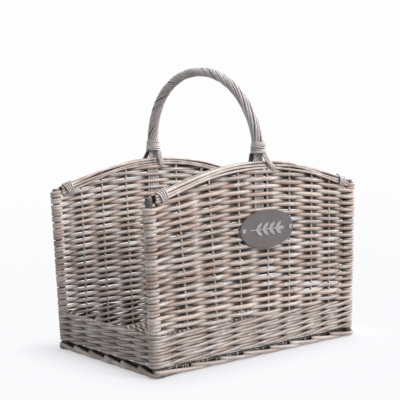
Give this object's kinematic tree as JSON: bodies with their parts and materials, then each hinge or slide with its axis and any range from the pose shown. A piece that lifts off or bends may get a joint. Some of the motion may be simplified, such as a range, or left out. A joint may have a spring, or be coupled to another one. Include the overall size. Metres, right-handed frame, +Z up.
{
  "type": "log basket",
  "caption": "Open-ended woven willow basket with two tall arched side walls, two low ends, a roped hoop handle across the middle and an oval metal plate on one wall.",
  "frame": {"origin": "on the floor under the middle of the basket", "axes": "+Z up, X along the two tall side walls, Y across the two low open ends, the wall with the plate at -Y"},
  "size_m": [0.518, 0.3432, 0.5449],
  "materials": {
    "willow_base": "greywashed peeled willow, matt",
    "willow_foot": "greywashed thick willow rods, matt",
    "willow_wale": "greywashed willow rods, matt with a slight wax sheen",
    "willow_weave": "greywashed willow rods, pinkish grey brown, matt",
    "willow_post": "round stick, dark grey wash",
    "willow_stake": "thin pale willow stakes, matt",
    "willow_rim": "pale willow rods with a whitish wash",
    "willow_binding": "split willow skeins, smooth matt",
    "willow_handle": "fine twisted willow rods, grey white wash",
    "plate_paint": "dull dark grey paint",
    "plate_relief": "worn bright raised metal",
    "plate_wire": "bright drawn wire"
  },
  "bodies": {
    "root": {"base_sticks": "willow_base", "base_weave": "willow_base", "corner_binding_back_left": "willow_binding", "corner_binding_back_right": "willow_binding", "corner_binding_front_left": "willow_binding", "corner_binding_front_right": "willow_binding", "foot_border_back": "willow_foot", "foot_border_front": "willow_foot", "foot_border_left": "willow_foot", "foot_border_right": "willow_foot", "handle_binding_back": "willow_binding", "handle_binding_front": "willow_binding", "handle_core": "willow_post", "handle_liners_back": "willow_stake", "handle_liners_front": "willow_stake", "handle_roped_wrap": "willow_handle", "handle_straps_back": "willow_binding", "handle_straps_front": "willow_binding", "name_plate": "plate_paint", "plate_eyelets": "plate_wire", "plate_sprig": "plate_relief", "plate_wire_ties": "plate_wire", "post_back_left": "willow_post", "post_back_right": "willow_post", "post_front_left": "willow_post", "post_front_right": "willow_post", "post_wrap_back_left": "willow_weave", "post_wrap_back_right": "willow_weave", "post_wrap_front_left": "willow_weave", "post_wrap_front_right": "willow_weave", "rim_rods_back_left": "willow_rim", "rim_rods_back_right": "willow_rim", "rim_rods_front_left": "willow_rim", "rim_rods_front_right": "willow_rim", "side_weave_back": "willow_weave", "side_weave_front": "willow_weave", "stakes_back": "willow_stake", "stakes_front": "willow_stake", "stakes_left": "willow_stake", "stakes_right": "willow_stake", "wale_back": "willow_wale", "wale_front": "willow_wale", "wale_left": "willow_wale", "wale_right": "willow_wale"}
  },
  "joints": []
}
